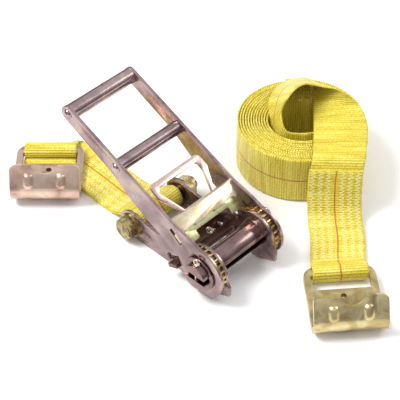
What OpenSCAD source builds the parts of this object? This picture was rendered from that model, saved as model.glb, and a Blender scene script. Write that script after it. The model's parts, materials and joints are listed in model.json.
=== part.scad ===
// Ratchet tie down: a two-inch ratchet buckle with its short fixed strap and
// flat hook, and the long strap, rolled up, with its own flat hook.
// Millimetres, +Z up. +X runs along the ratchet spindle, +Y towards the handle.

/* [Webbing] */
// Width of the webbing
web_w = 50; // [49:1:50]
// Thickness of one layer of webbing
web_t = 2.2; // [2:0.1:2.3]
// Outer radius of the rolled long strap
roll_r = 62; // [58:1:64]
// Radius of the open hole in the roll
roll_hole_r = 30; // [28:1:32]

/* [Buckle] */
// Half of the clear width between the frame plates
gap_half = 28; // [27.5:0.5:28.5]
// Thickness of the frame plates and handle plates
plate_t = 3; // [2.5:0.5:3]
// Distance from the spindle axis to the anchor bolt axis
bolt_reach = 96; // [92:1:100]
// Height of the spindle axis above the ground
axis_z = 27; // [27:1:28]
// Height of the anchor bolt axis above the ground
bolt_z = 14.5; // [14:0.5:15]

/* [Ratchet] */
// Number of teeth on each ratchet wheel
teeth = 24; // [24]
// Tip radius of the ratchet wheels
wheel_r = 23; // [22.5:0.5:23]
// Thickness of one ratchet wheel
wheel_t = 2.5; // [2:0.5:2.5]
// Radius of the split mandrel
mandrel_r = 12; // [11:0.5:12]
// Width of the webbing slot in the mandrel
mandrel_slot = 6; // [5:0.5:7]

/* [Handle] */
// Angle of the handle above the ground
handle_angle = 23; // [23]
// Distance from the spindle axis to the grip
grip_reach = 182; // [170:1:190]
// Distance from the spindle axis to the crossbar
bar_reach = 117; // [105:1:125]
// Radius of the grip tube
grip_r = 7.5; // [7:0.5:8]
// Radius of the crossbar tube
bar_r = 6.5; // [6:0.5:7]

/* [Flat hooks] */
// Overall width of a flat hook
hook_w = 64; // [64:1:70]
// Thickness of the hook plate
hook_t = 5; // [4.5:0.5:5]
// Distance from the webbing bar to the centre of the hook's bend
hook_len = 58; // [54:1:62]
// Length of the flat lip
lip_len = 21; // [19:1:24]
// Inside radius of the hook's bend
hook_bend_r = 7; // [6:0.5:8]

/* [Hidden] */
$fn = 64;

// The centre of the whole part's base, measured from the point below the
// middle of the spindle
base = [65.8, 51.8, 0];

// Fits
run = 0.06;
side_gap = 0.3;
eps = 0.01;

// Stations along the spindle, measured from its middle
frame_out = gap_half + plate_t;
wheel_in = frame_out + side_gap;
wheel_out = wheel_in + 2 * wheel_t;
handle_in = wheel_out + side_gap;
handle_out = handle_in + plate_t;
washer_in = handle_out + 0.2;
washer_t = 2;
washer_out = washer_in + washer_t;
mandrel_end = washer_out + 6;
pin_x = washer_out + 2.6;

// Directions in the plane of the plates, in degrees above horizontal
drive_angle = handle_angle + 15;
lock_angle = drive_angle - 60;
tooth_pitch = 360 / teeth;
frame_angle = -asin((axis_z - bolt_z) / bolt_reach);
bolt_y = bolt_reach * cos(frame_angle);

// Pawls
pawl_t = 4;
pawl_reach = 20.2;
pawl_front = 24.6;
travel = 5;
spring_wire = 1;
spring_r = 2.6;

// Frame
lobe_r = 22.5;
frame_end_r = 14.2;
seat_r = 47;

// Handle
handle_lobe_r = 25;
grip_v = 12.5;
bar_v = 11.5;
rivet_r = 3.5;

// Anchor bolt
bolt_r = 6;
sleeve_r = 8;
bolt_loop_r = sleeve_r + 0.4;

// Flat hooks
lip_turn = 125;

// Webbing laid double
double_t = 2 * web_t + 0.2;
loop_r = 6;
loop_out = loop_r + web_t;
bar_half = 5;

// Where the loose ends lie, from the point below the middle of the spindle
short_hook_at = [-10.5, 228, loop_out + 0.3];
short_hook_turn = -46;
short_hook_tilt = 1.5;
roll_at = [152.7, 56.3, 0];
tail_turn = -45;
long_hook_at = [58, -74, loop_out + 0.1];
long_hook_turn = -41;
long_hook_tilt = 3;

zinc = [0.66, 0.56, 0.55];
bright_zinc = [0.82, 0.76, 0.58];
dark_zinc = [0.50, 0.38, 0.35];
webbing_yellow = [0.90, 0.84, 0.16];

// ---- Helpers ----

module place() {
    translate(-base)
        children();
}

// A plate of thickness t, its outline drawn with Y across and Z up, from x
module plate(x, t) {
    translate([x, 0, 0])
        rotate([90, 0, 90])
            linear_extrude(t)
                children();
}

// The same on either side of the middle: side is -1 or 1
module side_plate(side, x, t) {
    plate(side > 0 ? x : -x - t, t)
        children();
}

// Turn about the spindle: Y then points along the given direction
module from_axis(angle) {
    translate([0, 0, axis_z])
        rotate([angle, 0, 0])
            children();
}

module in_plane(angle) {
    translate([0, axis_z])
        rotate(angle)
            children();
}

module x_rod(x0, x1, r) {
    translate([x0, 0, 0])
        rotate([0, 90, 0])
            cylinder(r = r, h = x1 - x0);
}

module slot_2d(from, to, w) {
    translate([from, -w / 2])
        square([to - from, w]);
}

// Points of a circular arc
function arc(c, r, a0, a1, n) =
    [for (i = [0:n]) c + r * [cos(a0 + (a1 - a0) * i / n), sin(a0 + (a1 - a0) * i / n)]];

// ---- Frame ----

module frame_outline() {
    end_c = [bolt_y, bolt_z];
    difference() {
        union() {
            translate([0, axis_z]) circle(lobe_r);
            intersection() {
                translate([0, axis_z]) circle(axis_z);
                translate([-axis_z, 0]) square([2 * axis_z, axis_z * 0.72]);
            }
            // Pointed nose at the front of the plate
            polygon([[-22, axis_z], [-26, 17], [-25.4, 9], [-14, 3.8], [0, 10]]);
            translate(end_c) circle(frame_end_r);
            // Beam to the anchor bolt
            polygon([[0, 0.1], [bolt_y, bolt_z - frame_end_r], [bolt_y, bolt_z + frame_end_r - 0.2],
                     [64, 25], [40, 31], [21.5, 33], [0, axis_z]]);
        }
        translate([0, axis_z]) circle(mandrel_r + run);
        translate(end_c) circle(bolt_r + 0.02);
        in_plane(lock_angle) slot_2d(24.1, pawl_front + 18 + travel, pawl_t + 0.4);
        in_plane(lock_angle) translate([seat_r + 3, 0]) slot_2d(-1.55, 1.55, 6.1);
    }
}

module frame_plate(side) {
    color(zinc)
        side_plate(side, gap_half, plate_t)
            frame_outline();
}

// Cross plate that the lock pawl's springs push on, tabbed through both plates
module frame_cross_plate() {
    color(dark_zinc)
        from_axis(lock_angle)
            translate([0, seat_r + 3, 0]) {
                translate([-gap_half, -1.5, -6])
                    cube([2 * gap_half, 3, 13]);
                translate([-frame_out - 1.5, -1.5, -3])
                    cube([2 * frame_out + 3, 3, 6]);
            }
}

module at_bolt() {
    translate([0, bolt_y, bolt_z])
        children();
}

module anchor_bolt() {
    color(bright_zinc)
        at_bolt() {
            x_rod(-frame_out - 2.5 - 8, -frame_out - 2.5, 10.4, $fn = 6);
            x_rod(-frame_out - 2.5 - 8.6, -frame_out - 2.5 - 8 + eps, 8.6);
            x_rod(-frame_out - 2.5 - eps, frame_out + 17, bolt_r);
        }
}

module anchor_nut() {
    color(bright_zinc)
        at_bolt()
            difference() {
                x_rod(frame_out + 2.5, frame_out + 13, 10.4, $fn = 6);
                x_rod(frame_out + 2, frame_out + 14, bolt_r);
            }
}

module anchor_washers() {
    color(bright_zinc)
        at_bolt()
            for (side = [-1, 1])
                difference() {
                    x0 = side > 0 ? frame_out : -frame_out - 2.5;
                    x_rod(x0, x0 + 2.5, 12);
                    x_rod(x0 - 1, x0 + 4, bolt_r + 0.02);
                }
}

module anchor_sleeve() {
    color(dark_zinc)
        at_bolt()
            difference() {
                x_rod(-gap_half, gap_half, sleeve_r);
                x_rod(-gap_half - 1, gap_half + 1, bolt_r + 0.02);
            }
}

// ---- Spindle ----

// Half of the split mandrel; side 1 is the half above the slot
module mandrel_half(side) {
    color(zinc)
        translate([0, 0, axis_z])
            difference() {
                intersection() {
                    x_rod(-mandrel_end, mandrel_end, mandrel_r);
                    translate([-60, -20, side > 0 ? mandrel_slot / 2 : -20 - mandrel_slot / 2])
                        cube([120, 40, 20]);
                }
                for (x = [-pin_x, pin_x])
                    translate([x, 0, -20])
                        cylinder(r = 1.7, h = 40);
            }
}

// Ratchet teeth with their gaps on the pawls' directions
module wheel_outline() {
    root_r = wheel_r - 3.5;
    difference() {
        polygon([for (i = [0:teeth - 1], p = [[-4, 0], [-0.1, 1], [3.1, 1], [4, 0]])
            let (a = drive_angle + tooth_pitch * (i + 0.5) + p[0], r = p[1] > 0 ? wheel_r : root_r)
            [r * cos(a), r * sin(a)]]);
        circle(mandrel_r);
    }
}

module ratchet_wheel(side, layer) {
    color(bright_zinc)
        side_plate(side, wheel_in + layer * wheel_t, wheel_t)
            translate([0, axis_z])
                wheel_outline();
}

module end_washer(side) {
    color(bright_zinc)
        side_plate(side, washer_in, washer_t)
            translate([0, axis_z])
                difference() {
                    circle(16.5);
                    circle(mandrel_r);
                }
}

// Split pin through both halves of the mandrel's end
module cotter_pin(side) {
    color(bright_zinc)
        translate([side * pin_x, 0, axis_z]) {
            translate([0, 0, -mandrel_r - 4])
                cylinder(r = 1.6, h = 2 * mandrel_r + 5.5);
            translate([0, 0, mandrel_r + 4])
                rotate([0, 90, 0])
                    rotate_extrude()
                        translate([2.6, 0])
                            circle(1.1, $fn = 24);
        }
}

// ---- Handle ----

module handle_outline() {
    difference() {
        union() {
            circle(handle_lobe_r);
            polygon([[grip_reach, grip_v + grip_r + 0.3], [45, 19], [22, 22.6], [10, 22.9], [0, 0],
                     [16, -19.2], [24, -10], [45, -8], [71, -7], [89, -5], [bar_reach + 3, 2.4],
                     [grip_reach, grip_v - grip_r - 0.3]]);
            translate([grip_reach, grip_v]) circle(grip_r + 0.3);
        }
        circle(mandrel_r + run);
        translate([grip_reach, grip_v]) circle(rivet_r);
        translate([bar_reach, bar_v]) circle(rivet_r);
        rotate(drive_angle - handle_angle) slot_2d(29.4, 45.6, pawl_t + 0.4);
    }
}

module handle_plate(side) {
    color(zinc)
        side_plate(side, handle_in, plate_t)
            in_plane(handle_angle)
                handle_outline();
}

module at_handle(u, v) {
    from_axis(handle_angle)
        translate([0, u, v])
            children();
}

module cross_tube(u, v, r) {
    color(zinc)
        at_handle(u, v)
            difference() {
                x_rod(-handle_in, handle_in, r);
                x_rod(-handle_in - 1, handle_in + 1, r - 2);
            }
}

// Rivet through a cross tube, its ends peened over outside the plates
module cross_rivet(u, v, r) {
    head_r = 4.8;
    color(zinc)
        at_handle(u, v)
            rotate([0, 90, 0])
                rotate_extrude()
                    intersection() {
                        translate([0, -handle_out - 3]) square([r, 2 * handle_out + 6]);
                        union() {
                            translate([0, -handle_in]) square([r - 2.04, 2 * handle_in]);
                            translate([0, -handle_out - eps]) square([rivet_r, 2 * handle_out + 2 * eps]);
                            for (side = [-1, 1])
                                translate([0, side * handle_out - (side < 0 ? 2.2 : 0)])
                                    polygon([[0, 0], [side > 0 ? head_r : 2.2, 0], [side > 0 ? head_r - 0.6 : 3.6, 0.8],
                                             [side > 0 ? 3.6 : head_r - 0.6, 1.4], [side > 0 ? 2.2 : head_r, 2.2], [0, 2.2]]);
                        }
                    }
}

// Bent cover over the drive pawl, with the flange that its springs push on
module spring_cover() {
    color(bright_zinc)
        from_axis(drive_angle)
            difference() {
                union() {
                    translate([-handle_in, 36, 2.6]) cube([2 * handle_in, 13, 2]);
                    translate([0, 49, 1.6])
                        intersection() {
                            x_rod(-handle_in, handle_in, 3);
                            translate([-handle_in, 0, 0]) cube([2 * handle_in, 4, 4]);
                        }
                    translate([-handle_in, 50, -9]) cube([2 * handle_in, 2, 10.6]);
                }
                translate([0, 49, 1.6]) x_rod(-handle_in - 1, handle_in + 1, 1);
                // Window for the finger pull's legs
                translate([-20, 48, -5]) cube([40, 5, 6.6]);
                // Notches along the front edge
                for (x = [-30, -6, 18])
                    translate([x, 35, 0]) cube([12, 2.4, 6]);
            }
}

module coil_spring(len, coils) {
    sides = 8;
    steps = coils * 14;
    pts = [for (i = [0:steps], j = [0:sides - 1])
        let (a = 360 * coils * i / steps, b = 360 * j / sides,
             r = spring_r + spring_wire / 2 * cos(b))
        [r * cos(a), r * sin(a),
         spring_wire / 2 + (len - spring_wire) * i / steps + spring_wire / 2 * sin(b)]];
    ring = [for (i = [0:steps - 1], j = [0:sides - 1])
        [i * sides + j, i * sides + (j + 1) % sides, (i + 1) * sides + (j + 1) % sides, (i + 1) * sides + j]];
    caps = [[for (j = [sides - 1:-1:0]) j], [for (j = [0:sides - 1]) steps * sides + j]];
    polyhedron(pts, concat([for (f = ring) [f[3], f[2], f[1], f[0]]], [for (f = caps) [for (k = [len(f) - 1:-1:0]) f[k]]]));
}

module drive_spring(side) {
    color(bright_zinc)
        from_axis(drive_angle)
            translate([side * 28, 41.1, -1.2])
                rotate([-90, 0, 0])
                    coil_spring(8.8, 4);
}

// ---- Pawls ----

// Tooth of a pawl, drawn along Y with its thickness along Z
module pawl_tooth(side) {
    side_plate(side, wheel_in, 2 * wheel_t)
        polygon([[pawl_reach, -0.8], [pawl_front - 1.4, -1.5], [pawl_front, -pawl_t / 2],
                 [pawl_front + 2, -pawl_t / 2], [pawl_front + 2, pawl_t / 2], [pawl_front, pawl_t / 2],
                 [pawl_front - 1.4, 1.5], [pawl_reach, 0.8]]);
}

module drive_pawl() {
    half = [[0, 32], [19, 32], [20, 31], [20, 26], [21.5, pawl_front], [wheel_out, pawl_front],
            [wheel_out, 30], [handle_out - 0.4, 30], [handle_out - 0.4, 39.5], [wheel_out, 39.5],
            [wheel_out, 41], [20, 41], [20, 46], [0, 46]];
    color([0.80, 0.79, 0.58])
        from_axis(drive_angle) {
            translate([0, 0, -pawl_t / 2])
                linear_extrude(pawl_t)
                    polygon(concat(half, [for (i = [len(half) - 1:-1:0]) [-half[i][0], half[i][1]]]));
            for (side = [-1, 1]) pawl_tooth(side);
        }
}

module pull_outline() {
    difference() {
        offset(r = 5, $fn = 32)
            polygon([[-12, 5], [12, 5], [12, 2], [25, 28], [25, 36], [-25, 36], [-25, 28], [-12, 2]]);
        offset(r = 1.6, $fn = 24)
            polygon([[-8.5, -12], [8.5, -12], [24.4, 30], [22, 33.2], [-22, 33.2], [-24.4, 30]]);
    }
}

// Flat-bar loop that draws the drive pawl back, its legs set into the pawl
module finger_pull() {
    color([0.85, 0.72, 0.70])
        from_axis(drive_angle)
            translate([0, 46.02, 0])
                difference() {
                    rotate([-10, 0, 0])
                        translate([0, 0, -1.5])
                            linear_extrude(3)
                                pull_outline();
                    translate([-40, -20, -10]) cube([80, 20, 20]);
                }
}

module lock_pawl() {
    half = [[0, 26], [26, 26], [27, pawl_front], [wheel_out, pawl_front], [wheel_out, 29],
            [handle_out + 2.4, 29], [handle_out + 2.4, 40], [gap_half - 0.5, 40], [gap_half - 0.5, 37],
            [0, 37]];
    color(dark_zinc)
        from_axis(lock_angle) {
            translate([0, 0, -pawl_t / 2])
                linear_extrude(pawl_t)
                    polygon(concat(half, [for (i = [len(half) - 1:-1:0]) [-half[i][0], half[i][1]]]));
            for (side = [-1, 1]) pawl_tooth(side);
        }
}

module lock_spring(side) {
    color(bright_zinc)
        from_axis(lock_angle)
            translate([side * 16, 37.1, 0])
                rotate([-90, 0, 0])
                    coil_spring(seat_r + 1.4 - 37.1, 5);
}

// ---- Webbing ----

module at_short_hook() {
    translate(short_hook_at)
        rotate([0, 0, short_hook_turn])
            children();
}

// Loop of webbing round a bar along X
module web_loop(r_in, r_out) {
    difference() {
        x_rod(-web_w / 2, web_w / 2, r_out);
        x_rod(-web_w / 2 - 1, web_w / 2 + 1, r_in);
    }
}

// The fixed strap: round the anchor sleeve, down to the ground and along it,
// then a quarter bend under the hook to the loop round the hook's bar
module short_strap() {
    color(webbing_yellow) {
        at_bolt() web_loop(bolt_loop_r, bolt_loop_r + web_t);
        difference() {
            plate(-web_w / 2, web_w)
                polygon([[bolt_y + 4, 4.4], [135, 0.1], [135, double_t], [bolt_y + 8, bolt_z - 1.5]]);
            at_bolt() x_rod(-web_w, web_w, bolt_loop_r + 1);
        }
        difference() {
            translate([0, 0, 0.1])
                linear_extrude(double_t - 0.1)
                    polygon([[-25, 135 - eps], [25, 135 - eps], [29, 160], [29, 222], [22, 229],
                             [-18, 250], [-24, 243], [-21, 215], [-21, 160]]);
            // Room for the hook's bar to turn
            at_short_hook() x_rod(-hook_w, hook_w, loop_r);
        }
        at_short_hook() web_loop(loop_r, loop_out);
    }
}

module long_strap_roll() {
    color(webbing_yellow)
        translate(roll_at)
            rotate_extrude($fn = 96)
                translate([roll_hole_r, 0])
                    square([roll_r - roll_hole_r, web_w]);
}

// The free end: up out of the roll's hole, forwards across its top, down to
// the ground and along it to the loop round the hook's bar
module long_strap_tail() {
    top = web_w + 0.2;
    left = 5;
    color(webbing_yellow) {
        translate([roll_at[0], roll_at[1], 0])
            rotate([0, 0, tail_turn]) {
                // Inner loop, standing on edge round the hole
                rotate([0, 0, 75])
                    translate([0, 0, top + 1])
                        rotate_extrude(angle = 125)
                            translate([roll_hole_r - 8, 0])
                                square([7, 13]);
                intersection() {
                    plate(left, web_w)
                        polygon([[roll_r + 2, top], [roll_r + 2, top + double_t], [-58, top + double_t],
                                 [-68, 48], [-80, 28], [-92, 11], [-106, double_t], [-151, double_t],
                                 [-151, 0], [-108, 0], [-96, 2.5], [-84, 14], [-74, 29], [-66, 41],
                                 [-63, 46], [-62.2, top]]);
                    translate([0, 0, -1])
                        linear_extrude(2 * web_w)
                            polygon(concat([[left - 1, -160], [left + web_w + 1, -160]],
                                           arc([0, 0], roll_r, 24, 86, 14)));
                }
            }
        translate(long_hook_at)
            rotate([0, 0, long_hook_turn])
                web_loop(loop_r, loop_out);
    }
}

// ---- Flat hooks ----

// Side view of a flat hook, from its bar at the origin to its lip
module hook_profile() {
    bend_c = [-hook_len, hook_t / 2 + hook_bend_r];
    lip_dir = [cos(180 - lip_turn), sin(180 - lip_turn)];
    outer = arc(bend_c, hook_bend_r + hook_t, -90, -90 - lip_turn, 20);
    inner = arc(bend_c, hook_bend_r, -90 - lip_turn, -90, 20);
    polygon(concat([[bar_half, hook_t / 2], [bar_half, -hook_t / 2]], outer,
                   [outer[20] + lip_len * lip_dir, inner[0] + lip_len * lip_dir], inner));
}

// A rectangle with its four corners rounded, in plan
module rounded_plan(x, y0, y1, r) {
    polygon(concat(arc([x - r, y1 - r], r, 0, 90, 6), arc([r - x, y1 - r], r, 90, 180, 6),
                   arc([r - x, y0 + r], r, 180, 270, 6), arc([x - r, y0 + r], r, 270, 360, 6)));
}

// Draws on the lip: the origin is the bend's centre and -Y runs up the lip
module on_lip() {
    translate([0, -hook_len, hook_t / 2 + hook_bend_r])
        rotate([-lip_turn, 0, 0])
            children();
}

// Rib with a round end, pressed out of the lip's face
module rib() {
    rib_r = 5.4;
    rib_len = 6;
    rotate([90, 0, 0])
        rotate_extrude($fn = 32)
            polygon(concat([[0, -rib_r]], arc([0, 0], rib_r, -80, 0, 5), arc([0, rib_len], rib_r, 0, 80, 5),
                           [[0, rib_len + rib_r]]));
}

// What is cut away where the lip's edge meets its side
module lip_corner() {
    r = 5;
    translate([hook_w / 2 - r, -lip_len + r, -30])
        difference() {
            translate([0, -r - 1, 0]) cube([r + 1, r + 1, 26]);
            translate([0, 0, -1]) cylinder(r = r, h = 28);
        }
}

module flat_hook() {
    slot_far = 21;
    color(zinc)
        difference() {
            union() {
                intersection() {
                    plate(-hook_w / 2, hook_w) hook_profile();
                    translate([0, 0, -20]) linear_extrude(80) rounded_plan(hook_w / 2, -80, bar_half, 11);
                }
                on_lip()
                    intersection() {
                        for (s = [-1, 1])
                            translate([s * 15, -3, 2.6 - hook_bend_r - hook_t]) rib();
                        // Nothing of a rib comes out inside the throat
                        translate([-30, -60, -60]) cube([60, 120, 60 - hook_bend_r - 1]);
                    }
            }
            // Webbing slot
            translate([0, 0, -10])
                linear_extrude(20)
                    rounded_plan(web_w / 2 + 1, -slot_far, -bar_half, 2);
            // Small hole in front of the slot
            translate([0, -slot_far - 8, -10]) cylinder(r = 2.6, h = 20);
            // Rounded corners of the lip
            for (side = [0, 1])
                mirror([side, 0, 0]) on_lip() lip_corner();
            // Finger notch in the lip's edge
            on_lip() translate([0, -lip_len - 6, -30]) cylinder(r = 14, h = 40);
        }
}

module short_strap_hook() {
    at_short_hook()
        rotate([short_hook_tilt, 0, 0])
            flat_hook();
}

module long_strap_hook() {
    translate(long_hook_at)
        rotate([0, 0, long_hook_turn])
            rotate([long_hook_tilt, 0, 0])
                flat_hook();
}

// ---- Nodes ----

place() frame_plate(-1);  // frame_plate_left
place() frame_plate(1);  // frame_plate_right
place() frame_cross_plate();
place() anchor_bolt();
place() anchor_nut();
place() anchor_washers();
place() anchor_sleeve();
place() mandrel_half(1);  // mandrel_half_upper
place() mandrel_half(-1);  // mandrel_half_lower
place() ratchet_wheel(-1, 0);  // ratchet_wheel_left_inner
place() ratchet_wheel(-1, 1);  // ratchet_wheel_left_outer
place() ratchet_wheel(1, 0);  // ratchet_wheel_right_inner
place() ratchet_wheel(1, 1);  // ratchet_wheel_right_outer
place() end_washer(-1);  // end_washer_left
place() end_washer(1);  // end_washer_right
place() cotter_pin(-1);  // cotter_pin_left
place() cotter_pin(1);  // cotter_pin_right
place() handle_plate(-1);  // handle_plate_left
place() handle_plate(1);  // handle_plate_right
place() cross_tube(grip_reach, grip_v, grip_r);  // grip_tube
place() cross_rivet(grip_reach, grip_v, grip_r);  // grip_rivet
place() cross_tube(bar_reach, bar_v, bar_r);  // crossbar_tube
place() cross_rivet(bar_reach, bar_v, bar_r);  // crossbar_rivet
place() spring_cover();
place() drive_pawl();
place() finger_pull();
place() drive_spring(-1);  // drive_spring_left
place() drive_spring(1);  // drive_spring_right
place() lock_pawl();
place() lock_spring(-1);  // lock_spring_left
place() lock_spring(1);  // lock_spring_right
place() short_strap();
place() short_strap_hook();
place() long_strap_roll();
place() long_strap_tail();
place() long_strap_hook();
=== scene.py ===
"""Looks of a two-inch ratchet tie down: the ratchet buckle with its short strap
and flat hook, and the rolled long strap with its own flat hook."""

import json
import math

import bmesh
import bpy
from mathutils import Matrix, Vector


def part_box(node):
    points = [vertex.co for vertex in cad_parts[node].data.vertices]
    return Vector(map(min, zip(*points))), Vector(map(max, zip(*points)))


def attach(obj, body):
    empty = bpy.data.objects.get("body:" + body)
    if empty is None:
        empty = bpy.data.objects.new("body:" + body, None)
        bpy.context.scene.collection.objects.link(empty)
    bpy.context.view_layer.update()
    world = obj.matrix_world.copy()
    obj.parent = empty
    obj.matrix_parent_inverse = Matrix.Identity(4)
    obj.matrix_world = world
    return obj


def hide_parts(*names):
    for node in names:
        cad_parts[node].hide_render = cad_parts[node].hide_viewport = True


bl_info = {
    "name": "Ratchet Tie Down",
    "version": (1, 0, 0),
    "blender": (4, 5, 0),
    "location": "View3D > Sidebar > Tie Down",
    "description": "Finishes the metal of a ratchet tie down and weaves its straps",
    "category": "Object",
}

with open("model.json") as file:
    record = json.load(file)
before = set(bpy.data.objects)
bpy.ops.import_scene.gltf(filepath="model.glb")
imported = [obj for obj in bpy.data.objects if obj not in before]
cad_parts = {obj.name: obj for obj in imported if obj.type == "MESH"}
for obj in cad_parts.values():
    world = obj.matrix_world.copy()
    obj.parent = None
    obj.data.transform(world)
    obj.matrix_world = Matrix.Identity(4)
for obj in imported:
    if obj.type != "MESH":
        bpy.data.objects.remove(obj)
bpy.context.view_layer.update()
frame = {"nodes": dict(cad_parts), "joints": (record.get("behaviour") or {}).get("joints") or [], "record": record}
NODES = frame["nodes"]
JOINTS = {joint["name"]: joint for joint in frame["joints"]}
MM = 0.001
BODY_OF = {n: body for body, nodes in frame["record"]["behaviour"]["bodies"].items() for n in nodes}

SPINDLE = Vector(JOINTS["spindle_turn"]["pos_m"])
GROUND = Vector((SPINDLE.x, SPINDLE.y, 0))
ROLL_LOW, ROLL_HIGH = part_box("long_strap_roll")
ROLL = Vector(((ROLL_LOW.x + ROLL_HIGH.x) / 2, (ROLL_LOW.y + ROLL_HIGH.y) / 2, 0))
ROLL_TURN = -45  # degrees from the scene's +X to the roll's own
BOLT = Vector(JOINTS["short_strap_swing"]["pos_m"])
SHORT_BAR = Vector(JOINTS["short_hook_swing"]["pos_m"])
LONG_BAR = Vector(JOINTS["long_hook_swing"]["pos_m"])


# ---- Settings ----

class StageSettings(bpy.types.PropertyGroup):
    camera_at: bpy.props.FloatVectorProperty(
        name="Camera", description="Where the camera stands, from the ground below the spindle",
        default=(-0.6477, -0.5940, 0.9175), subtype="TRANSLATION", unit="LENGTH")
    azimuth: bpy.props.FloatProperty(
        name="Azimuth", description="Turn of the view from along +Y",
        default=math.radians(-45.66), subtype="ANGLE")
    elevation: bpy.props.FloatProperty(
        name="Elevation", description="How steeply the camera looks down",
        default=math.radians(43.42), subtype="ANGLE")
    roll: bpy.props.FloatProperty(
        name="Roll", description="Tilt of the camera about its view",
        default=math.radians(-0.21), subtype="ANGLE")
    lens: bpy.props.FloatProperty(
        name="Lens", description="Focal length on a 36 mm sensor", default=128.8, unit="CAMERA")
    floor_size: bpy.props.FloatProperty(
        name="Floor", description="Width of the floor", default=8.0, unit="LENGTH")
    key_power: bpy.props.FloatProperty(
        name="Key", description="Power of the main soft box", default=40.0, unit="POWER")
    fill_power: bpy.props.FloatProperty(
        name="Fill", description="Power of the low soft box", default=9.0, unit="POWER")


class StrapSettings(bpy.types.PropertyGroup):
    width: bpy.props.FloatProperty(
        name="Width", description="Width of the webbing", default=0.0496, unit="LENGTH")
    thickness: bpy.props.FloatProperty(
        name="Thickness", description="Thickness of one layer of webbing", default=0.0020, unit="LENGTH")
    pitch: bpy.props.FloatProperty(
        name="Turn pitch", description="Distance between turns of the roll", default=0.00245, unit="LENGTH")
    yellow: bpy.props.StringProperty(
        name="Yellow", description="Colour of the dyed polyester yarn", default="#E0CC2A")
    tracer: bpy.props.StringProperty(
        name="Tracer", description="Colour of the thread along the middle", default="#BE5A20")


class MetalSettings(bpy.types.PropertyGroup):
    edge: bpy.props.FloatProperty(
        name="Edge round", description="Rounding of the sheared edges", default=0.0005, unit="LENGTH")


SETTINGS = (
    ("tie_down_stage", StageSettings),
    ("tie_down_strap", StrapSettings),
    ("tie_down_metal", MetalSettings),
)


# ---- Small helpers ----

def linear(hex_colour):
    """An sRGB hex colour as linear RGBA."""
    text = hex_colour.lstrip("#")
    parts = [int(text[i:i + 2], 16) / 255 for i in (0, 2, 4)]
    return tuple(c / 12.92 if c <= 0.04045 else ((c + 0.055) / 1.055) ** 2.4 for c in parts) + (1.0,)


def add(tree, kind, inputs=(), stops=(), **settings):
    """Adds a shader node with its settings and links, and a colour ramp's stops of
    (position, hex colour). Inputs are by name, or in order. Each value is a constant,
    a socket, or a node whose first output is linked."""
    node = tree.nodes.new("ShaderNode" + kind)
    for name, value in settings.items():
        setattr(node, name, value)
    for key, value in (inputs.items() if isinstance(inputs, dict) else enumerate(inputs)):
        if isinstance(value, bpy.types.Node):
            value = value.outputs[0]
        if isinstance(value, bpy.types.NodeSocket):
            tree.links.new(value, node.inputs[key])
        else:
            node.inputs[key].default_value = value
    if stops:
        elements = node.color_ramp.elements
        while len(elements) < len(stops):
            elements.new(0.5)
        for element, (position, colour) in zip(elements, stops):
            element.position = position
            element.color = linear(colour)
    return node


def new_material(name):
    material = bpy.data.materials.new(name)
    material.use_nodes = True
    tree = material.node_tree
    tree.nodes.clear()
    return material, tree


def new_piece(name, mesh, material):
    """An object at the origin from a finished bmesh, with its faces outwards."""
    bmesh.ops.recalc_face_normals(mesh, faces=mesh.faces)
    data = bpy.data.meshes.new(name)
    mesh.to_mesh(data)
    mesh.free()
    piece = bpy.data.objects.new(name, data)
    bpy.context.scene.collection.objects.link(piece)
    data.materials.append(material)
    return piece


def deselect():
    for item in bpy.context.selected_objects:
        item.select_set(False)


# ---- Materials ----

def chromate_zinc(name, stops, roughness, streak_axis, cloud_mm, bump):
    """Bright zinc with a yellow-iridescent chromate, rolled and barrel-plated.
    The thin film gives clouds of mauve, straw and olive over a satin metal."""
    material, tree = new_material(name)
    place = add(tree, "TexCoord").outputs["Object"]
    clouds = add(tree, "TexNoise", {"Vector": place, "Scale": 1 / (cloud_mm * MM), "Detail": 3.0,
                                    "Roughness": 0.55, "Distortion": 0.6})
    film = add(tree, "ValToRGB", (clouds,), stops=stops)
    # Rolling lines about 0.4 mm apart, drawn coarser than they are so that they show
    stretched = add(tree, "Mapping", {"Vector": place, "Scale": streak_axis})
    lines = add(tree, "TexNoise", {"Vector": stretched, "Scale": 1 / (1.6 * MM), "Detail": 2.0})
    grit = add(tree, "TexNoise", {"Vector": place, "Scale": 1 / (0.9 * MM), "Detail": 2.0})
    line_share = add(tree, "Math", (lines, 0.6), operation="MULTIPLY")
    grit_share = add(tree, "Math", (grit, 0.4), operation="MULTIPLY")
    texture = add(tree, "Math", (line_share, grit_share), operation="ADD")
    # Burnished spots are smoother than the pickled ground
    rough = add(tree, "Math", (texture, 0.30, roughness - 0.15), operation="MULTIPLY_ADD")
    relief = add(tree, "Bump", {"Height": texture, "Distance": 0.15 * MM, "Strength": bump})
    # The film is thinner, and so paler, where the steel is rough
    thin = add(tree, "Math", (texture, 0.18), operation="MULTIPLY")
    tinted = add(tree, "Mix", {0: thin, 6: film, 7: linear("#F4EFDC")}, data_type="RGBA").outputs[2]
    shader = add(tree, "BsdfPrincipled", {"Base Color": tinted, "Metallic": 1.0, "Roughness": rough,
                                          "Normal": relief})
    add(tree, "OutputMaterial", (shader,))
    return material


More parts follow.
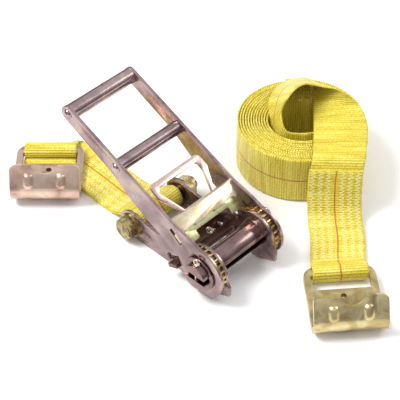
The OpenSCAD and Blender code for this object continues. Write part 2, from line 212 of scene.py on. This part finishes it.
# Each finish: the material's name, its colour stops, roughness, streak axis, the size
# of its clouds in millimetres and the strength of its relief
FINISHES = {
    # Formed handle and frame sheet: mauve film with straw clouds
    "sheet": ("mauve_chromate_zinc_sheet",
              [(0.25, "#5A4044"), (0.42, "#86686E"), (0.56, "#A48A8C"), (0.68, "#B09C84"), (0.82, "#9A9058")],
              0.26, (1, 0.18, 0.18), 30, 0.05),
    # Drawn tube: the same film, smoother
    "tube": ("mauve_chromate_zinc_tube",
             [(0.25, "#7A6064"), (0.5, "#A48A90"), (0.75, "#C4B0AC")], 0.20, (0.15, 1, 1), 24, 0.04),
    # Blanked wheels and washers: straw to gold
    "blank": ("straw_chromate_zinc_blanks",
              [(0.2, "#7E6428"), (0.42, "#C9A860"), (0.6, "#E4D29A"), (0.8, "#B98A58")],
              0.28, (1, 1, 1), 12, 0.05),
    # Forged bolt and nut: olive with brown-red facets
    "bolt": ("olive_chromate_zinc_bolt",
             [(0.28, "#4A2C20"), (0.45, "#75602F"), (0.6, "#B8A76C"), (0.78, "#6A3E32")],
             0.26, (1, 1, 1), 9, 0.04),
    # Brushed cover
    "cover": ("cream_chromate_zinc_cover",
              [(0.2, "#A88C64"), (0.45, "#DCC8A2"), (0.62, "#E8DAC2"), (0.82, "#C29A80")],
              0.28, (0.12, 1, 1), 20, 0.05),
    # Pawl: pale green-yellow with pink
    "pawl": ("green_chromate_zinc_pawl",
             [(0.25, "#A5A564"), (0.5, "#CFD096"), (0.68, "#D0B09C"), (0.85, "#B98480")],
             0.30, (1, 1, 1), 12, 0.05),
    # Frame's inside and lock pawl: a brown-red chromate film, made dark as painted shade for the parts that lie
    # inside the frame
    "dark": ("brown_chromate_zinc_inside",
             [(0.25, "#45241E"), (0.5, "#6B3E34"), (0.75, "#7E5A44")], 0.32, (1, 1, 1), 12, 0.05),
    # Finger pull: pale pink
    "pull": ("pink_chromate_zinc_pull",
             [(0.25, "#BC938C"), (0.5, "#DCBDB6"), (0.75, "#E8D8CA")], 0.30, (1, 1, 1), 16, 0.05),
    # Mandrel: purplish brown
    "mandrel": ("purple_chromate_zinc_mandrel",
                [(0.25, "#553638"), (0.5, "#7D5C60"), (0.75, "#967A72")], 0.22, (0.2, 1, 1), 18, 0.04),
    # Pressed hooks
    "hook_pink": ("rosy_chromate_zinc_hook",
                  [(0.25, "#9A7260"), (0.45, "#CBA898"), (0.62, "#DEC4B2"), (0.8, "#AE9668")],
                  0.38, (1, 1, 1), 22, 0.08),
    "hook_cream": ("cream_chromate_zinc_hook",
                   [(0.25, "#80662E"), (0.45, "#B8A064"), (0.62, "#DCCD98"), (0.8, "#9A7A50")],
                   0.34, (1, 1, 1), 22, 0.08),
    # Spring steel wire, plated bright
    "wire": ("bright_plated_spring_wire", [(0.3, "#A89E8A"), (0.6, "#DCD4BE")], 0.22, (1, 1, 1), 6, 0.03),
}


def zinc(finish):
    """The material of a finish, made the first time that it is asked for."""
    name, stops, roughness, streak_axis, cloud_mm, bump = FINISHES[finish]
    found = bpy.data.materials.get(name)
    return found or chromate_zinc(name, stops, roughness, streak_axis, cloud_mm, bump)


WEBBING = "woven_polyester_webbing"
THREAD = "bonded_polyester_thread"


def add_up(tree, *shares):
    """The sum of patterns, each a (socket or node, weight)."""
    total = None
    for pattern, weight in shares:
        share = add(tree, "Math", (pattern, weight), operation="MULTIPLY")
        total = add(tree, "Math", (total, share), operation="ADD") if total else share
    return total


def webbing_material(strap):
    """Woven polyester webbing: filament yarns with a soft sheen, ribbed crosswise
    by the weft, with one coloured tracer yarn. UV is in metres: U across, V along."""
    material, tree = new_material(WEBBING)
    uv = add(tree, "UVMap", uv_map="webbing")
    axes = add(tree, "SeparateXYZ", (uv,))
    across, along = axes.outputs["X"], axes.outputs["Y"]
    # Weft ribs are about 1.3 mm apart on such webbing, drawn at 2.3 mm so that they show
    weft = add(tree, "Math", (add(tree, "Math", (along, math.tau / (2.3 * MM)), operation="MULTIPLY"),),
               operation="SINE")
    # Warp yarns 1.15 mm apart
    warp = add(tree, "Math", (add(tree, "Math", (across, math.tau / (1.15 * MM)), operation="MULTIPLY"),),
               operation="SINE")
    weave = add(tree, "Math", (weft, warp), operation="MULTIPLY")
    # Uneven tension along the strap, in bands a few ribs long
    bands = add(tree, "CombineXYZ", (add(tree, "Math", (across, 1 / (40 * MM)), operation="MULTIPLY"),
                                     add(tree, "Math", (along, 1 / (5.5 * MM)), operation="MULTIPLY")))
    tension = add(tree, "TexNoise", {"Vector": bands, "Scale": 1.0, "Detail": 2.0})
    # Single yarns that lie prouder, painted paler as painted highlights where they would catch the light
    yarns = add(tree, "CombineXYZ", (add(tree, "Math", (across, 1 / (1.4 * MM)), operation="MULTIPLY"),
                                     add(tree, "Math", (along, 1 / (2.2 * MM)), operation="MULTIPLY")))
    fleck = add(tree, "TexNoise", {"Vector": yarns, "Scale": 1.0, "Detail": 1.0})
    height = add_up(tree, (weft, 0.30), (weave, 0.22), (tension, 0.7))
    # Painted light and shade: the crests of the weft ribs and of the weave, and the proud yarns, are painted pale
    # to near white, and their hollows dark golden brown; the tension bands vary the yarn's own tone
    light = add_up(tree, (weave, 0.12), (weft, 0.09), (tension, 0.55), (fleck, 0.50))
    yarn = add(tree, "ValToRGB", (light,), stops=[(0.18, "#A87C1C"), (0.36, "#CDB01E"), (0.52, strap.yellow),
                                                  (0.66, "#F0E552"), (0.82, "#FCF8BC")])
    # The tracer yarn, 0.9 mm wide with soft edges, wavers a little and dips under the weft
    swing = add(tree, "Math", (tension, 0.5), operation="SUBTRACT")
    waver = add(tree, "Math", (swing, 1.2 * MM), operation="MULTIPLY")
    off = add(tree, "Math", (add(tree, "Math", (across, waver), operation="ADD"),), operation="ABSOLUTE")
    past = add(tree, "Math", (off, 0.45 * MM), operation="SUBTRACT")
    fade = add(tree, "Math", (past, 1 / (0.5 * MM)), operation="MULTIPLY", use_clamp=True)
    inside = add(tree, "Math", (1.0, fade), operation="SUBTRACT")
    dips = add(tree, "Math", (weft, 0.12, 0.85), operation="MULTIPLY_ADD")
    on_tracer = add(tree, "Math", (inside, dips), operation="MULTIPLY", use_clamp=True)
    colour = add(tree, "Mix", {0: on_tracer, 6: yarn, 7: linear(strap.tracer)}, data_type="RGBA").outputs[2]
    relief = add(tree, "Bump", {"Height": height, "Distance": 0.6 * MM, "Strength": 1.0})
    shader = add(tree, "BsdfPrincipled", {"Base Color": colour, "Roughness": 0.34, "IOR": 1.57,
                                          "Sheen Weight": 0.12, "Sheen Roughness": 0.4, "Normal": relief})
    add(tree, "OutputMaterial", (shader,))
    return material


def thread_material():
    """Bonded polyester sewing thread: off-white, waxed, with a slight gloss."""
    material, tree = new_material(THREAD)
    place = add(tree, "TexCoord").outputs["Object"]
    # The twist of the thread, about 0.8 mm a turn
    twist = add(tree, "TexNoise", {"Vector": place, "Scale": 1 / (0.8 * MM), "Detail": 1.0})
    colour = add(tree, "ValToRGB", (twist,), stops=[(0.3, "#E8DC78"), (0.7, "#FBF7C4")])
    relief = add(tree, "Bump", {"Height": twist, "Distance": 0.1 * MM, "Strength": 0.4})
    shader = add(tree, "BsdfPrincipled", {"Base Color": colour, "Roughness": 0.5, "IOR": 1.57,
                                          "Normal": relief})
    add(tree, "OutputMaterial", (shader,))
    return material


def strap_materials(context):
    """The webbing's and the thread's materials, made for the first strap."""
    webbing = bpy.data.materials.get(WEBBING) or webbing_material(context.scene.tie_down_strap)
    return webbing, bpy.data.materials.get(THREAD) or thread_material()


# ---- Strap building ----

def in_roll(x, y, z):
    """A point in the roll's own frame, in millimetres: +X right, +Y away, from the
    point on the ground below the roll's middle."""
    return ROLL + Matrix.Rotation(math.radians(ROLL_TURN), 3, "Z") @ (Vector((x, y, z)) * MM)


def smooth_run(keys, steps):
    """Points along a smooth curve through the keys, steps to each stretch."""
    ends = [keys[0] * 2 - keys[1]] + list(keys) + [keys[-1] * 2 - keys[-2]]
    points = []
    for i in range(1, len(ends) - 2):
        a, b, c, d = ends[i - 1:i + 3]
        for k in range(steps):
            t = k / steps
            points.append(0.5 * (2 * b + (c - a) * t + (2 * a - 5 * b + 4 * c - d) * t * t
                                 + (3 * b - a - 3 * c + d) * t ** 3))
    return points + [ends[-2]]


# The webbing's section: (share of the half width, share of the half thickness)
SECTION_HALF = [(-1.0, 0.0), (-0.985, 0.75), (-0.9, 1.0), (-0.45, 1.0), (0.0, 1.0),
                (0.45, 1.0), (0.9, 1.0), (0.985, 0.75), (1.0, 0.0)]
PLAIN_FACE_U = 0.2  # where the pattern of the face without a tracer starts, in metres
CUT_END_U = 0.02    # a place on the pattern with no tracer
SECTION = SECTION_HALF + [(s, -h) for s, h in SECTION_HALF[-2:0:-1]]


def steady_normals(lows, highs):
    """The face direction at each station, from the run of both edges."""
    normals = []
    count = len(lows)
    for i in range(count):
        ahead, behind = min(i + 1, count - 1), max(i - 1, 0)
        run = (lows[ahead] + highs[ahead]) - (lows[behind] + highs[behind])
        normals.append(run.cross(highs[i] - lows[i]).normalized())
    return normals


def ribbon(name, pairs, thickness, material):
    """A closed strip of webbing through edge pairs, with its length and width as UV."""
    lows, highs = zip(*pairs)
    normals = steady_normals(lows, highs)
    mesh = bmesh.new()
    layer = mesh.loops.layers.uv.new("webbing")
    rings, along, length = [], [], 0.0
    for i, (low, high, normal) in enumerate(zip(lows, highs, normals)):
        centre, half = (low + high) / 2, (high - low) / 2
        if i:
            length += (centre - (lows[i - 1] + highs[i - 1]) / 2).length
        along.append(length)
        rings.append([mesh.verts.new(centre + half * s + normal * (h * thickness / 2)) for s, h in SECTION])
    size = len(SECTION)
    for i in range(len(rings) - 1):
        wide = (highs[i] - lows[i]).length / 2
        for k in range(size):
            j = (k + 1) % size
            face = mesh.faces.new([rings[i][k], rings[i][j], rings[i + 1][j], rings[i + 1][k]])
            face.smooth = True
            for loop, (at, side) in zip(face.loops, ((i, k), (i, j), (i + 1, j), (i + 1, k))):
                # The tracer is woven into one face: the other's pattern starts past it
                aside = PLAIN_FACE_U if k < len(SECTION_HALF) - 1 else 0.0
                loop[layer].uv = (SECTION[side][0] * wide + aside, along[at])
    for ring, at in ((rings[0], along[0]), (rings[-1][::-1], along[-1])):
        face = mesh.faces.new(ring)
        for loop in face.loops:
            loop[layer].uv = (CUT_END_U, at)
    return new_piece(name, mesh, material), length


def zigzag_rows(name, lows, highs, faces_up, rows, thickness, material, bars):
    """Rows of zigzag stitching sewn along a strap, and bars of it straight across.
    Each thread is a fine tube lying on the face that faces_up chooses."""
    normals = steady_normals(lows, highs)
    mesh = bmesh.new()
    along = [0.0]
    for i in range(1, len(lows)):
        along.append(along[-1] + ((lows[i] + highs[i]) / 2 - (lows[i - 1] + highs[i - 1]) / 2).length)

    def on_face(distance, across):
        i = max(k for k in range(len(along) - 1) if along[k] <= distance or k == 0)
        t = min((distance - along[i]) / (along[i + 1] - along[i]), 1.0)
        low, high = lows[i].lerp(lows[i + 1], t), highs[i].lerp(highs[i + 1], t)
        side = (high - low).normalized()
        normal = normals[i].lerp(normals[i + 1], t).normalized() * faces_up
        return (low + high) / 2 + side * across + normal * (thickness / 2 + 0.15 * MM), normal

    def thread(path):
        for (start, up), (end, _) in zip(path, path[1:]):
            run = (end - start).normalized()
            side = run.cross(up).normalized()
            ring_a, ring_b = [], []
            for k in range(THREAD_SIDES):
                turn = math.tau * k / THREAD_SIDES
                lift = side * (math.cos(turn) * THREAD_R * 1.3) + up * (math.sin(turn) * THREAD_R)
                ring_a.append(mesh.verts.new(start - run * THREAD_R * 0.4 + lift))
                ring_b.append(mesh.verts.new(end + run * THREAD_R * 0.4 + lift))
            for k in range(THREAD_SIDES):
                j = (k + 1) % THREAD_SIDES
                mesh.faces.new([ring_a[k], ring_a[j], ring_b[j], ring_b[k]])
            mesh.faces.new(ring_a[::-1])
            mesh.faces.new(ring_b)

    total = along[-1]
    for row in rows:
        thread([on_face(STITCH * k, row + STITCH_SWING * (1 if k % 2 else -1))
                for k in range(int(total / STITCH))])
    for distance in bars:
        half = max(abs(r) for r in rows) + 2 * MM
        thread([on_face(distance + 0.5 * MM * (1 if k % 2 else -1), -half + 2 * half * k / BAR_STITCHES)
                for k in range(BAR_STITCHES + 1)])
    return new_piece(name, mesh, material)


def loop_round(centre, bar_dir, radius, start, end, count, side_dir):
    """Edge pairs of a strap looped round a bar, from one angle to another.
    0 degrees lies along side_dir and 90 straight up."""
    up = Vector((0, 0, 1))
    pairs = []
    for k in range(count + 1):
        turn = math.radians(start + (end - start) * k / count)
        middle = centre + (side_dir * math.cos(turn) + up * math.sin(turn)) * radius
        pairs.append((middle - bar_dir, middle + bar_dir))
    return pairs


# ---- The long strap ----

# Where the free strap's two edges run, from the roll's innermost turn to the front
# of the roll: out of the hole, over the far side, turned over and back to the front.
# Each row is the lower or left edge, then the upper or right edge, in millimetres.
LONG_TURNOVER = [
    ((21.5, -20.5, 0.6), (19.0, -17.5, 50.0)),
    ((-2.0, -28.5, 3.0), (-1.5, -21.5, 51.0)),
    ((-21.5, -18.0, 11.0), (-15.5, -23.5, 57.0)),
    ((-29.0, 0.0, 26.0), (-19.2, -12.5, 69.0)),
    ((-29.5, 19.0, 48.0), (-13.4, -7.5, 81.0)),
    ((-23.0, 40.0, 52.0), (-6.0, 3.0, 83.0)),
    ((-9.0, 54.0, 52.0), (3.0, 13.5, 80.5)),
    ((6.0, 59.0, 52.0), (12.0, 17.5, 76.5)),
    ((14.0, 54.5, 51.8), (22.0, 17.5, 74.0)),
    ((15.5, 44.0, 51.6), (33.5, 15.5, 73.0)),
    ((14.5, 33.0, 51.6), (43.3, 10.5, 70.5)),
    ((13.6, 22.0, 51.6), (50.5, 8.0, 66.0)),
    ((12.8, 10.0, 51.6), (56.5, 3.0, 61.5)),
    ((12.0, -4.0, 51.6), (60.5, -9.0, 57.0)),
    ((11.0, -18.0, 51.6), (61.2, -22.0, 54.0)),
    ((9.4, -38.0, 51.8), (58.8, -41.0, 52.8)),
    ((7.8, -53.0, 52.4), (56.6, -55.5, 52.8)),
    ((6.6, -61.0, 50.6), (54.8, -63.0, 50.6)),
    ((4.6, -66.5, 45.0), (53.4, -68.5, 45.0)),
    ((3.2, -70.5, 36.0), (52.6, -72.5, 36.0)),
    ((2.8, -76.0, 22.0), (52.4, -77.5, 22.0)),
    ((3.0, -84.0, 10.5), (52.6, -84.5, 10.5)),
    ((3.4, -95.0, 5.2), (53.0, -94.5, 5.2)),
    ((3.9, -108.0, 3.8), (53.5, -106.5, 3.8)),
    ((3.4, -121.0, 3.6), (53.0, -119.0, 3.6)),
    ((2.4, -133.5, 3.6), (52.0, -131.0, 3.6)),
    ((1.6, -145.0, 4.0), (51.2, -142.0, 4.0)),
]
# The way that the roll's front faces, and the places of the seams across the webbing
FRONT = Matrix.Rotation(math.radians(ROLL_TURN), 3, "Z") @ Vector((0, -1, 0))
SEAMS = [across * MM for across in (-20.5, -13.5, -6.5, 6.5, 13.5, 20.5)]
SEWN_FROM = 18          # the row where the doubled, sewn part starts
LAYER_DROP = 2.25 * MM  # the lower layer lies this far under the folded-back one
ROLL_INNER = 29.6 * MM  # radius of the innermost turn
TURNS_START = 100.0     # degrees round the roll where its outer end lies
TURNS_END = -43.6       # and where the innermost turn leaves for the free end
LONG_LOWEST = 1.25 * MM  # middle of webbing that lies on the ground
SHORT_LOWEST = 1.2 * MM
STATIONS_PER_TURN = 60
STEPS = 10              # stations to each stretch between two rows
SINK_STATIONS = 14      # stations over which the strap sinks under its folded-back end
LOOP_R = 7.2 * MM       # middle of the webbing round a hook's bar
BOLT_LOOP_R = 9.5 * MM  # middle of the webbing round the anchor bolt
STITCH = 1.7 * MM       # from one point of the zigzag to the next
STITCH_SWING = 2.0 * MM
BAR_STITCHES = 26       # stitches in a seam straight across
THREAD_R = 0.27 * MM
THREAD_SIDES = 6


def roll_pairs(strap):
    """Edge pairs of the wound turns, from the outer end to the innermost turn."""
    outer = (ROLL_HIGH.x - ROLL_LOW.x) / 2 - strap.thickness / 2 - 0.3 * MM
    part_turn = (TURNS_START - TURNS_END) / 360
    turns = round((outer - ROLL_INNER) / strap.pitch - part_turn) + part_turn
    count = int(turns * STATIONS_PER_TURN)
    pairs = []
    for k in range(count + 1):
        share = k / count
        angle = math.radians(TURNS_START - 360 * turns * share)
        loose = 0.32 * MM * math.sin(angle * 2 + 9 * share) * (1 - share)
        radius = outer + (ROLL_INNER - outer) * share + min(loose, 0.0)
        # Each turn stands a little higher or lower than the last
        lift = 0.35 + 0.35 * math.sin(turns * 2.4 * share + 1.0) + 0.25 * math.sin(angle * 3 + k * 0.01)
        point = Vector((math.cos(angle), math.sin(angle), 0)) * (radius / MM)
        low = in_roll(point.x, point.y, max(0.15, lift))
        pairs.append((low, low + Vector((0, 0, strap.width))))
    return pairs


def build_long_strap(strap, webbing, thread):
    """One strip: wound up, led over the roll and down, round the hook's bar and back."""
    pairs = roll_pairs(strap)
    keys = [(in_roll(*low), in_roll(*high)) for low, high in LONG_TURNOVER]
    lead = pairs[-5:-1:2]
    lows = smooth_run([p[0] for p in lead] + [k[0] for k in keys], STEPS)
    highs = smooth_run([p[1] for p in lead] + [k[1] for k in keys], STEPS)
    sewn_start = (SEWN_FROM + len(lead)) * STEPS
    # The strap itself sinks behind its folded-back end, and goes on as the lower layer
    normals = steady_normals(lows, highs)
    run = []
    for i, (low, high, normal) in enumerate(zip(lows, highs, normals)):
        if normal.z > 0 or (abs(normal.z) < 0.2 and normal.dot(FRONT) > 0):
            normal = -normal
        sink = min(max((i - sewn_start) / SINK_STATIONS + 1, 0.0), 1.0) * LAYER_DROP
        low, high = low + normal * sink, high + normal * sink
        if i > sewn_start:
            low.z, high.z = max(low.z, LONG_LOWEST), max(high.z, LONG_LOWEST)
        run.append((low, high))
    # Under the hook's bar, up through its slot, over the bar and back on top
    bar = Vector(JOINTS["long_hook_swing"]["axis"]) * -1
    away = Vector((0, 0, 1)).cross(bar).normalized()
    loop = loop_round(LONG_BAR + bar * MM, bar * (strap.width / 2), LOOP_R, 266, 22, 26, away)
    top = list(zip(lows, highs))[sewn_start:][::-1]
    path = pairs[:-5] + run + loop + top
    piece, length = ribbon("long_strap_webbing", path, strap.thickness, webbing)
    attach(piece, "long_strap")
    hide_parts("long_strap_roll", "long_strap_tail")
    sew_low, sew_high = lows[sewn_start + 1:-2], highs[sewn_start + 1:-2]
    face = -1 if steady_normals(sew_low, sew_high)[-1].z < 0 else 1
    total = sum(((sew_low[i] + sew_high[i]) / 2 - (sew_low[i - 1] + sew_high[i - 1]) / 2).length
                for i in range(1, len(sew_low)))
    sewing = zigzag_rows("long_strap_stitching", sew_low, sew_high, face, SEAMS, strap.thickness,
                         thread, bars=(total - 1 * MM,))
    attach(sewing, "long_strap")
    return length


# ---- The short strap ----

# The upper layer's left and right edges, from the bolt to behind the hook's bar, in
# millimetres from the point on the ground below the spindle
SHORT_LIE = [
    ((-24.8, 112.0, 13.5), (24.8, 112.0, 13.5)),
    ((-24.8, 124.0, 7.0), (24.8, 124.0, 7.0)),
    ((-24.6, 136.0, 3.9), (25.0, 136.0, 3.9)),
    ((-23.6, 155.5, 3.5), (26.0, 154.5, 3.5)),
    ((-22.5, 175.5, 3.5), (27.0, 174.5, 3.5)),
    ((-21.6, 196.0, 2.6), (27.9, 194.0, 2.6)),
    ((-21.6, 214.5, 1.6), (27.8, 209.5, 1.6)),
    ((-22.6, 232.5, 1.7), (25.2, 219.0, 2.6)),
    ((-24.6, 245.5, 3.4), (20.0, 221.8, 6.0)),
]


def build_short_strap(strap, webbing, thread):
    """One strip, doubled between the anchor bolt and its hook."""
    half = strap.width / 2
    across = Vector((1, 0, 0))
    away = Vector((0, 1, 0))
    keys = [(GROUND + Vector(left) * MM, GROUND + Vector(right) * MM) for left, right in SHORT_LIE]
    top_low, top_high = (smooth_run([k[side] for k in keys], STEPS) for side in (0, 1))
    normals = steady_normals(top_low, top_high)
    # The lower layer's cut end lies under the hook
    under = []
    for i in range(45, 4, -1):
        normal = normals[i] if normals[i].z < 0 else -normals[i]
        low, high = top_low[i] + normal * LAYER_DROP, top_high[i] + normal * LAYER_DROP
        low.z, high.z = max(low.z, SHORT_LOWEST), max(high.z, SHORT_LOWEST)
        under.append((low, high))
    bolt = loop_round(BOLT, across * half, BOLT_LOOP_R, -70, -285, 26, away)
    bar = Vector(JOINTS["short_hook_swing"]["axis"]) * -1
    beyond = Vector((0, 0, 1)).cross(bar).normalized()
    # Up behind the hook's bar, over it and down through the slot to the other cut end
    hook = loop_round(SHORT_BAR, bar * half, LOOP_R, 0, 205, 26, beyond)
    end = []
    for back, height in ((-11.0, 5.0), (-16.0, 4.2), (-24.0, 3.9)):
        middle = Vector((SHORT_BAR.x, SHORT_BAR.y, height * MM)) + beyond * (back * MM)
        end.append((middle - bar * half, middle + bar * half))
    path = under + bolt + list(zip(top_low, top_high)) + hook + end
    piece, length = ribbon("short_strap_webbing", path, strap.thickness, webbing)
    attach(piece, "short_strap")
    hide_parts("short_strap")
    face = 1 if normals[-1].z > 0 else -1
    sewing = zigzag_rows("short_strap_stitching", top_low[8:52], top_high[8:52], face, SEAMS,
                         strap.thickness, thread, bars=(1 * MM,))
    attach(sewing, "short_strap")
    return length


# ---- Metal ----

def finished_copy(node, material, edge):
    """The node's own shape with its sheared edges rounded, standing for the node."""
    piece = bpy.data.objects.new(node + "_finished", NODES[node].data.copy())
    bpy.context.scene.collection.objects.link(piece)
    mesh = bmesh.new()
    mesh.from_mesh(piece.data)
    bmesh.ops.remove_doubles(mesh, verts=mesh.verts, dist=0.004 * MM)
    bmesh.ops.dissolve_limit(mesh, angle_limit=math.radians(0.6), verts=mesh.verts, edges=mesh.edges)
    mesh.to_mesh(piece.data)
    mesh.free()
    piece.data.materials.clear()
    piece.data.materials.append(material)
    deselect()
    bpy.context.view_layer.objects.active = piece
    piece.select_set(True)
    bevel = piece.modifiers.new("sheared_edges", "BEVEL")
    bevel.width = edge
    bevel.segments = 2
    bevel.limit_method = "ANGLE"
    bevel.angle_limit = math.radians(32)
    bevel.use_clamp_overlap = True
    bpy.ops.object.modifier_apply(modifier=bevel.name)
    bpy.ops.object.shade_smooth_by_angle(angle=math.radians(34))
    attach(piece, BODY_OF[node])
    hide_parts(node)


def finish_nodes(finish, edge, *nodes):
    """Gives nodes their finish, with sheared edges rounded by edge where it isn't 0."""
    material = zinc(finish)
    for node in nodes:
        if node not in NODES:
            raise RuntimeError(f"the packed model has no node {node}")
        if edge:
            finished_copy(node, material, edge)
            continue
        data = NODES[node].data
        data.materials.clear()
        data.materials.append(material)


# ---- Operators ----

def lay_floor(stage):
    """Matt white paper: fine fibres, no gloss."""
    deselect()
    bpy.ops.mesh.primitive_plane_add(size=stage.floor_size, location=(0, 0, -0.3 * MM))
    floor = bpy.context.active_object
    floor.name = "floor"
    floor.data.transform(floor.matrix_world)
    floor.matrix_world = Matrix.Identity(4)
    material, tree = new_material("matt_paper_floor")
    place = add(tree, "TexCoord").outputs["Object"]
    fibre = add(tree, "TexNoise", {"Vector": place, "Scale": 900.0, "Detail": 2.0})
    colour = add(tree, "ValToRGB", (fibre,), stops=[(0.3, "#FAFAFA"), (0.7, "#FFFFFF")])
    shader = add(tree, "BsdfPrincipled", {"Base Color": colour, "Roughness": 0.9})
    add(tree, "OutputMaterial", (shader,))
    floor.data.materials.append(material)


def light_stage(context, stage):
    """A room that is bright overhead and dim round the horizon, so that turned faces
    differ, and two soft boxes aimed at the middle."""
    world = bpy.data.worlds.new("studio")
    world.use_nodes = True
    tree = world.node_tree
    tree.nodes.clear()
    place = add(tree, "TexCoord").outputs["Generated"]
    height = add(tree, "SeparateXYZ", (place,)).outputs["Z"]
    tone = add(tree, "ValToRGB", (height,), stops=[(0.0, "#8C8C90"), (0.35, "#A4A4A8"),
                                                   (0.62, "#F8F8FA"), (1.0, "#FFFFFF")])
    sky = add(tree, "Background", {"Color": tone, "Strength": 0.85})
    add(tree, "OutputWorld", (sky,))
    context.scene.world = world
    for name, at, size, power in (("key_soft_box", (-0.9, 0.9, 1.7), 0.9, stage.key_power),
                                  ("fill_soft_box", (1.3, -0.6, 1.1), 0.8, stage.fill_power)):
        data = bpy.data.lights.new(name, "AREA")
        data.energy = power
        data.size = size
        light = bpy.data.objects.new(name, data)
        light.location = at
        light.rotation_euler = (-Vector(at)).to_track_quat("-Z", "Y").to_euler()
        context.scene.collection.objects.link(light)


def stand_camera(context, stage):
    data = bpy.data.cameras.new("camera")
    data.lens = stage.lens
    data.sensor_width = 36.0
    camera = bpy.data.objects.new("camera", data)
    az, el = stage.azimuth, stage.elevation
    forward = Vector((-math.sin(az) * math.cos(el), math.cos(az) * math.cos(el), -math.sin(el)))
    level = Vector((math.cos(az), math.sin(az), 0))
    right = level * math.cos(stage.roll) + level.cross(forward) * math.sin(stage.roll)
    turn = Matrix((right, right.cross(forward), -forward)).transposed().to_4x4()
    camera.matrix_world = Matrix.Translation(GROUND + Vector(stage.camera_at)) @ turn
    context.scene.collection.objects.link(camera)
    context.scene.camera = camera
    context.scene.view_settings.view_transform = "Standard"


class TIEDOWN_OT_stage(bpy.types.Operator):
    """Lay the floor, hang the soft boxes and stand the camera"""
    bl_idname = "tiedown.stage"
    bl_label = "Stage"

    def execute(self, context):
        stage = context.scene.tie_down_stage
        lay_floor(stage)
        light_stage(context, stage)
        stand_camera(context, stage)
        return {"FINISHED"}


class TIEDOWN_OT_frame(bpy.types.Operator):
    """Finish the frame, with its bolt, lock springs and washers"""
    bl_idname = "tiedown.frame"
    bl_label = "Frame"

    def execute(self, context):
        edge = context.scene.tie_down_metal.edge
        finish_nodes("sheet", edge, "frame_plate_left", "frame_plate_right")
        # The cross plate and anchor sleeve take the dark finish: painted shade for parts inside the frame
        finish_nodes("dark", edge, "frame_cross_plate", "anchor_sleeve")
        finish_nodes("bolt", 0, "anchor_bolt", "anchor_nut", "anchor_washers")
        finish_nodes("wire", 0, "lock_spring_left", "lock_spring_right")
        return {"FINISHED"}


class TIEDOWN_OT_spindle(bpy.types.Operator):
    """Finish the spindle: split mandrel, ratchet wheels, end washers and cotter pins"""
    bl_idname = "tiedown.spindle"
    bl_label = "Spindle"

    def execute(self, context):
        edge = context.scene.tie_down_metal.edge
        finish_nodes("mandrel", edge, "mandrel_half_upper", "mandrel_half_lower")
        finish_nodes("blank", 0, "ratchet_wheel_left_inner", "ratchet_wheel_left_outer",
                     "ratchet_wheel_right_inner", "ratchet_wheel_right_outer")
        finish_nodes("mandrel", edge, "end_washer_left", "end_washer_right")
        finish_nodes("wire", 0, "cotter_pin_left", "cotter_pin_right")
        return {"FINISHED"}


class TIEDOWN_OT_handle(bpy.types.Operator):
    """Finish the handle, with its grip, crossbar, spring cover and springs"""
    bl_idname = "tiedown.handle"
    bl_label = "Handle"

    def execute(self, context):
        edge = context.scene.tie_down_metal.edge
        finish_nodes("sheet", edge, "handle_plate_left", "handle_plate_right")
        finish_nodes("tube", 0, "grip_tube", "grip_rivet", "crossbar_tube", "crossbar_rivet")
        finish_nodes("cover", edge, "spring_cover")
        finish_nodes("wire", 0, "drive_spring_left", "drive_spring_right")
        return {"FINISHED"}


class TIEDOWN_OT_pawls(bpy.types.Operator):
    """Finish the drive pawl with its finger pull, and the lock pawl"""
    bl_idname = "tiedown.pawls"
    bl_label = "Pawls"

    def execute(self, context):
        edge = context.scene.tie_down_metal.edge
        finish_nodes("pawl", edge, "drive_pawl")
        finish_nodes("pull", edge, "finger_pull")
        finish_nodes("dark", edge, "lock_pawl")
        return {"FINISHED"}


class TIEDOWN_OT_hooks(bpy.types.Operator):
    """Finish the two flat hooks"""
    bl_idname = "tiedown.hooks"
    bl_label = "Flat hooks"

    def execute(self, context):
        edge = context.scene.tie_down_metal.edge
        finish_nodes("hook_pink", edge, "short_strap_hook")
        finish_nodes("hook_cream", edge, "long_strap_hook")
        return {"FINISHED"}


class TIEDOWN_OT_long_strap(bpy.types.Operator):
    """Roll, fold and sew the long strap"""
    bl_idname = "tiedown.long_strap"
    bl_label = "Long strap"

    def execute(self, context):
        length = build_long_strap(context.scene.tie_down_strap, *strap_materials(context))
        print(f"long strap {length:.3f} m")
        return {"FINISHED"}


class TIEDOWN_OT_short_strap(bpy.types.Operator):
    """Fold and sew the short strap"""
    bl_idname = "tiedown.short_strap"
    bl_label = "Short strap"

    def execute(self, context):
        length = build_short_strap(context.scene.tie_down_strap, *strap_materials(context))
        print(f"short strap {length:.3f} m")
        return {"FINISHED"}


class TIEDOWN_PT_panel(bpy.types.Panel):
    """Lists the tie down's operators"""
    bl_idname = "TIEDOWN_PT_panel"
    bl_label = "Ratchet Tie Down"
    bl_space_type = "VIEW_3D"
    bl_region_type = "UI"
    bl_category = "Tie Down"

    def draw(self, context):
        for operator in OPERATORS:
            self.layout.operator(operator.bl_idname)


OPERATORS = (TIEDOWN_OT_stage, TIEDOWN_OT_frame, TIEDOWN_OT_spindle, TIEDOWN_OT_handle, TIEDOWN_OT_pawls,
             TIEDOWN_OT_hooks, TIEDOWN_OT_long_strap, TIEDOWN_OT_short_strap)
CLASSES = tuple(group for _, group in SETTINGS) + OPERATORS + (TIEDOWN_PT_panel,)


def register():
    for item in CLASSES:
        bpy.utils.register_class(item)
    for name, group in SETTINGS:
        setattr(bpy.types.Scene, name, bpy.props.PointerProperty(type=group))


def unregister():
    for name, _ in SETTINGS:
        delattr(bpy.types.Scene, name)
    for item in reversed(CLASSES):
        bpy.utils.unregister_class(item)


def main():
    register()
    for step in ("stage", "frame", "spindle", "handle", "pawls", "hooks", "long_strap", "short_strap"):
        getattr(bpy.ops.tiedown, step)()


if __name__ == "__main__":
    main()
